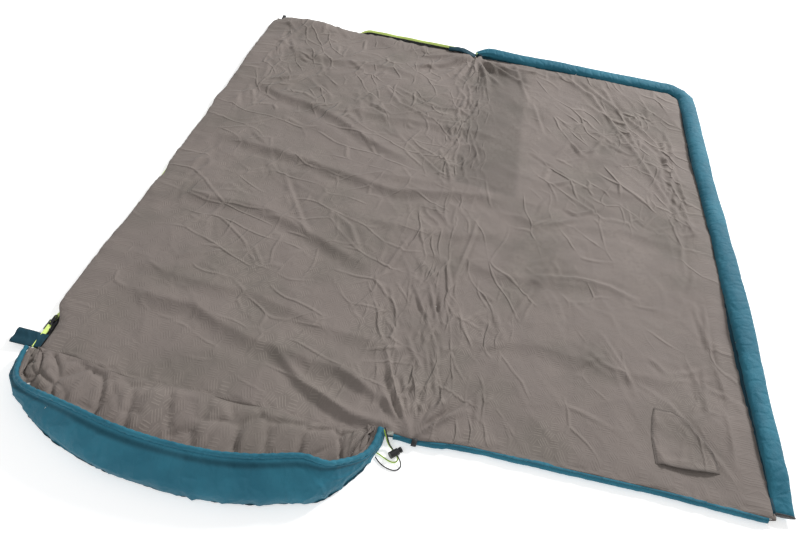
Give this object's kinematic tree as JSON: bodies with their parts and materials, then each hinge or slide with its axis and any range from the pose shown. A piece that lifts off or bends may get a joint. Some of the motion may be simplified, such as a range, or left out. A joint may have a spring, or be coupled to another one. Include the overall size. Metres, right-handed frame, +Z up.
{
  "type": "rectangular sleeping bag",
  "caption": "Rectangular quilted sleeping bag opened flat: two padded halves joined at a fold, a drawcord hood, an edge zip with sliders, a draft tube, a closing tab and a patch pocket.",
  "frame": {"origin": "centre of the opened bag's bounding box, on the floor that it lies on; the fold between the halves is the plane x = 0", "axes": "+Z up, +Y from the hood towards the foot, +X from the fold towards the top half"},
  "size_m": [1.8493, 2.1793, 0.11],
  "materials": {
    "shell_teal": "satin",
    "shell_dark": "satin",
    "lining": "matte",
    "batting": "matte",
    "lime_tape": "matte",
    "black_tape": "matte",
    "cord_black": "matte",
    "cord_lime": "matte",
    "black_plastic": "satin",
    "zip_metal": "satin",
    "spring_steel": "satin"
  },
  "bodies": {
    "bottom_half": {"bottom_shell": "shell_teal", "bottom_fill": "batting", "bottom_lining": "lining", "bottom_zip_guard": "lime_tape", "bottom_zip_tape": "black_tape", "bottom_zip_coil": "black_plastic", "zip_bottom_stop": "black_plastic", "draft_tube_stub": "shell_dark", "corner_hanging_loop": "black_tape"},
    "top_half": {"top_shell": "shell_teal", "top_fill": "batting", "top_lining": "lining", "top_neck_binding": "shell_teal", "top_zip_guard": "lime_tape", "top_zip_tape": "black_tape", "top_zip_coil": "black_plastic", "draft_tube_cover": "shell_teal", "draft_tube_fill": "batting", "draft_tube_end_binding": "black_tape", "pocket_panel": "lining", "neck_edge_tab": "black_tape", "tab_loop_patch": "black_tape"},
    "hood": {"hood_base_shell": "shell_teal", "hood_base_fill": "batting", "hood_base_lining": "lining", "hood_wall_shell": "shell_teal", "hood_wall_fill": "batting", "hood_wall_lining": "lining", "hood_piping": "shell_dark", "hood_rim_tunnel": "shell_teal", "hood_drawcord": "cord_black", "drawcord_loop": "cord_black", "drawcord_tail": "cord_lime"},
    "tab": {"neck_tab": "shell_teal", "tab_hook_patch": "black_tape"},
    "side_slider": {"side_slider_body": "zip_metal"},
    "side_puller": {"side_slider_puller": "black_plastic"},
    "foot_slider": {"foot_slider_body": "zip_metal"},
    "foot_puller": {"foot_slider_puller": "black_plastic"},
    "cord_lock": {"lock_body": "black_plastic", "lock_spring": "spring_steel"},
    "lock_button": {"lock_plunger": "black_plastic"}
  },
  "joints": [
    {"name": "bag_fold", "type": "hinge", "parent": "bottom_half", "child": "top_half", "pos_m": [0, 0.09, 0.036], "axis": [0, -1, 0], "range_deg": [0, 180]},
    {"name": "hood_fold", "type": "hinge", "parent": "bottom_half", "child": "hood", "pos_m": [-0.448, -0.847, 0.034], "axis": [-1, 0, 0], "range_deg": [0, 90]},
    {"name": "tab_lift", "type": "hinge", "parent": "bottom_half", "child": "tab", "pos_m": [-0.853, -0.811, 0.0107], "axis": [0, -1, 0], "range_deg": [-90, 0]},
    {"name": "side_slider_run", "type": "slide", "parent": "bottom_half", "child": "side_slider", "axis": [0, 1, 0], "range_m": [0, 1.7]},
    {"name": "side_puller_flip", "type": "hinge", "parent": "side_slider", "child": "side_puller", "pos_m": [-0.866, -0.758, 0.0116], "axis": [1, 0, 0], "range_deg": [0, 165]},
    {"name": "foot_slider_run", "type": "slide", "parent": "bottom_half", "child": "foot_slider", "axis": [-1, 0, 0], "range_m": [0, 0.6]},
    {"name": "foot_puller_flip", "type": "hinge", "parent": "foot_slider", "child": "foot_puller", "pos_m": [-0.17, 1.031, 0.0116], "axis": [0, -1, 0], "range_deg": [0, 165]},
    {"name": "cord_lock_slide", "type": "slide", "parent": "hood", "child": "cord_lock", "axis": [-0.6947, 0.7193, 0], "range_m": [0, 0.01]},
    {"name": "lock_button_press", "type": "slide", "parent": "cord_lock", "child": "lock_button", "axis": [-0.7193, -0.6947, 0], "range_m": [0, 0.004], "stiffness_N_per_m": 600, "springref_m": -0.004, "deforming": ["lock_spring"]}
  ]
}
